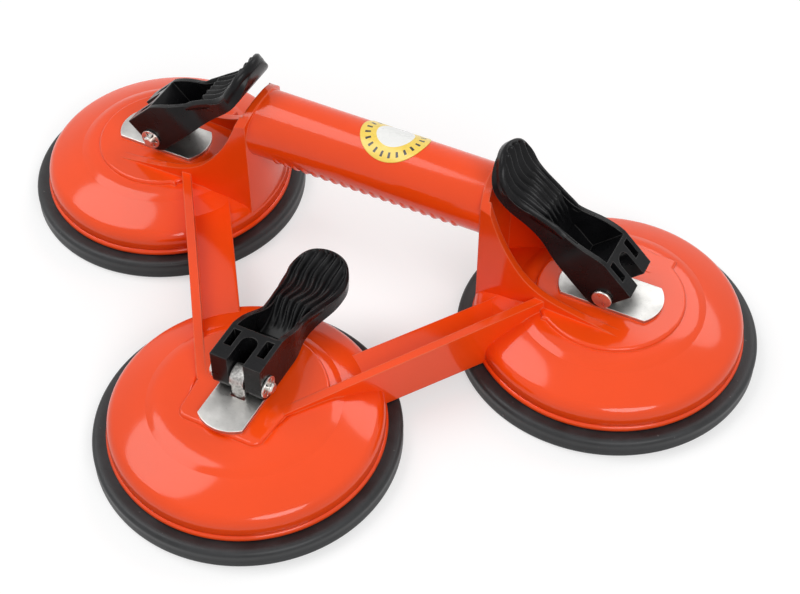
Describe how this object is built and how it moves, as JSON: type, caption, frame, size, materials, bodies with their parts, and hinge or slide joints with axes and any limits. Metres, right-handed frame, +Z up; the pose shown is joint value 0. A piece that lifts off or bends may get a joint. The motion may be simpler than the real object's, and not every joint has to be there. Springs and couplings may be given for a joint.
{
  "type": "triple suction cup lifter",
  "caption": "Die-cast vacuum lifter: suction cups in a triangle, a carrying bar between two of them and an inward-folding cam lever on each cup.",
  "frame": {"origin": "on the floor under the middle of the object's outline", "axes": "+Z up, +X along the handle bar, the single front cup lies towards -Y"},
  "size_m": [0.322, 0.225, 0.0834],
  "materials": {
    "casting_paint": "glossy orange enamel on a die casting",
    "label": "printed film",
    "pad_rubber": "moulded rubber",
    "plate_steel": "cold rolled strip",
    "stem_steel": "zinc plated, rough",
    "pin_steel": "zinc plated",
    "lever_plastic": "moulded, satin to glossy"
  },
  "bodies": {
    "frame": {"frame_casting": "casting_paint", "handle_label": "label", "front_vacuum_pad": "pad_rubber", "front_wear_plate": "plate_steel", "left_vacuum_pad": "pad_rubber", "left_wear_plate": "plate_steel", "right_vacuum_pad": "pad_rubber", "right_wear_plate": "plate_steel"},
    "front_stem": {"front_pad_core": "stem_steel", "front_pivot_pin": "pin_steel", "front_retaining_washer": "pin_steel"},
    "front_lever": {"front_lever": "lever_plastic"},
    "left_stem": {"left_pad_core": "stem_steel", "left_pivot_pin": "pin_steel", "left_retaining_washer": "pin_steel"},
    "left_lever": {"left_lever": "lever_plastic"},
    "right_stem": {"right_pad_core": "stem_steel", "right_pivot_pin": "pin_steel", "right_retaining_washer": "pin_steel"},
    "right_lever": {"right_lever": "lever_plastic"}
  },
  "joints": [
    {"name": "front_stem_slide", "type": "slide", "parent": "frame", "child": "front_stem", "axis": [0, 0, -1], "range_m": [0, 0.0033], "deforming": ["front_vacuum_pad"]},
    {"name": "front_lever_hinge", "type": "hinge", "parent": "front_stem", "child": "front_lever", "pos_m": [0, -0.0535, 0.03575], "axis": [1, 0, 0], "range_deg": [0, 90]},
    {"name": "left_stem_slide", "type": "slide", "parent": "frame", "child": "left_stem", "axis": [0, 0, -1], "range_m": [0, 0.00165], "deforming": ["left_vacuum_pad"]},
    {"name": "left_lever_hinge", "type": "hinge", "parent": "left_stem", "child": "left_lever", "pos_m": [-0.102, 0.0535, 0.0341], "axis": [0, -1, 0], "range_deg": [0, 45]},
    {"name": "right_stem_slide", "type": "slide", "parent": "frame", "child": "right_stem", "axis": [0, 0, -1], "range_m": [0, 0.00165], "deforming": ["right_vacuum_pad"]},
    {"name": "right_lever_hinge", "type": "hinge", "parent": "right_stem", "child": "right_lever", "pos_m": [0.102, 0.0535, 0.0341], "axis": [0, 1, 0], "range_deg": [0, 45]}
  ],
  "couplings": [
    {"joint": "front_lever_hinge", "follows": "front_stem_slide", "rad_per_m": 476.19},
    {"joint": "left_lever_hinge", "follows": "left_stem_slide", "rad_per_m": 476.19},
    {"joint": "right_lever_hinge", "follows": "right_stem_slide", "rad_per_m": 476.19}
  ]
}
